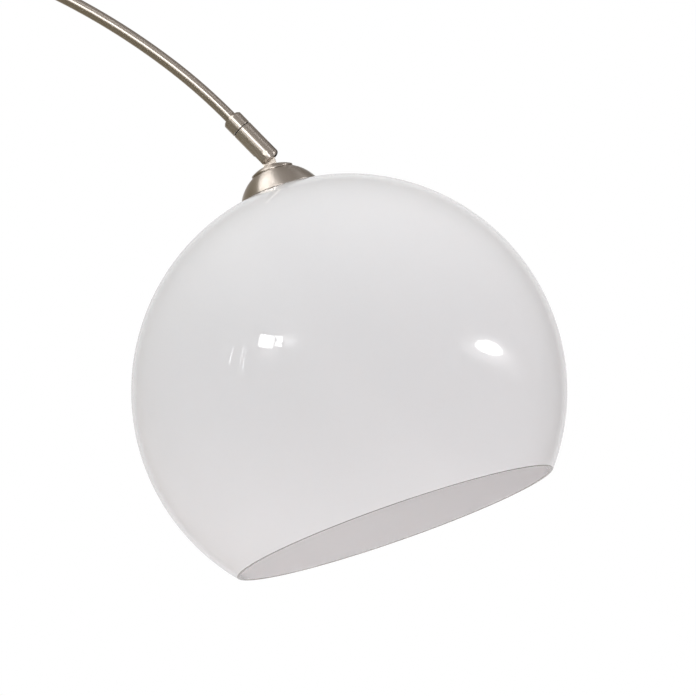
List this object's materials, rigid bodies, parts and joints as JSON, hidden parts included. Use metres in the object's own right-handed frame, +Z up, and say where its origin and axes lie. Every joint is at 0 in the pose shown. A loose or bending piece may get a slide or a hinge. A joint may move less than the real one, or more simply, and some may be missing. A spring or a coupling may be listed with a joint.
{
  "type": "arc floor lamp",
  "caption": "Floor lamp with a round weighted base, a column, a long curved arm of nested tubes and an opal ball shade on a tilting knuckle.",
  "frame": {"origin": "on the column's axis, on the floor under the base pad", "axes": "+Z up along the column, +X the way the arm reaches"},
  "size_m": [1.4545, 0.36, 1.9985],
  "materials": {
    "satin_nickel": "satin brushed, warm nickel",
    "opal_acrylic": "gloss opal white",
    "cast_iron": "rough black paint",
    "rubber_black": "matt",
    "zinc_steel": "bright zinc",
    "nylon_white": "matt natural nylon",
    "black_plastic": "satin black",
    "holder_plastic": "satin white",
    "brass": "bright",
    "lead_white": "satin insulation",
    "bulb_aluminium": "bright rolled thread",
    "bulb_opal": "opal frosted"
  },
  "bodies": {
    "stand": {"base_pad": "rubber_black", "base_weight": "cast_iron", "base_cover": "satin_nickel", "cord_gland": "rubber_black", "base_stud": "zinc_steel", "base_washer": "zinc_steel", "base_nut": "zinc_steel", "foot_ring": "satin_nickel", "column_lower_tube": "satin_nickel", "column_upper_tube": "satin_nickel", "column_foot_plug": "zinc_steel", "column_joiner": "zinc_steel", "column_lead": "lead_white", "top_sleeve": "satin_nickel", "top_bush": "nylon_white"},
    "clamp": {"clamp_screw": "zinc_steel", "clamp_knob": "black_plastic"},
    "arm_guide": {"arm_foot_bush": "nylon_white"},
    "arm": {"arm_root_tube": "satin_nickel", "arm_mid_tube": "satin_nickel", "arm_tip_tube": "satin_nickel", "arm_lead": "lead_white", "arm_ferrule_lower": "satin_nickel", "arm_ferrule_upper": "satin_nickel", "arm_grub_screws": "zinc_steel", "joint_collar": "satin_nickel", "swivel_screw": "zinc_steel"},
    "swivel": {"swivel_washer": "rubber_black", "swivel_body": "satin_nickel", "tilt_pin": "satin_nickel", "tilt_washers": "nylon_white"},
    "head": {"tilt_tongue": "satin_nickel", "small_cap": "satin_nickel", "dome_cap": "satin_nickel", "thread_coupler": "zinc_steel", "shade_upper_plate": "zinc_steel", "shade_gasket": "rubber_black", "shade_lower_plate": "zinc_steel", "shade_lock_nut": "zinc_steel", "hollow_nipple": "zinc_steel", "shade": "opal_acrylic", "holder_cap": "holder_plastic", "holder_body": "holder_plastic", "holder_insert": "nylon_white", "holder_screw_shell": "brass", "holder_contact": "brass", "head_lead": "lead_white", "bulb_base": "bulb_aluminium", "bulb_contact": "black_plastic", "bulb_glass": "bulb_opal"}
  },
  "joints": [
    {"name": "clamp_turn", "type": "hinge", "parent": "stand", "child": "clamp", "pos_m": [-0.02, 0, 1.311], "axis": [-1, 0, 0], "range_deg": [0, 360]},
    {"name": "arm_rise", "type": "slide", "parent": "stand", "child": "arm_guide", "axis": [0, 0, 1], "range_m": [-0.06, 0.2]},
    {"name": "arm_turn", "type": "hinge", "parent": "arm_guide", "child": "arm", "pos_m": [0, 0, 1.311], "axis": [0, 0, 1], "range_deg": [-170, 170]},
    {"name": "head_swivel", "type": "hinge", "parent": "arm", "child": "swivel", "pos_m": [1.03073, 0, 1.79327], "axis": [-0.6947, 0, 0.7193], "range_deg": [-170, 170]},
    {"name": "head_tilt", "type": "hinge", "parent": "swivel", "child": "head", "pos_m": [1.03073, 0, 1.79327], "axis": [0, 1, 0], "range_deg": [-24.5, 65]}
  ]
}
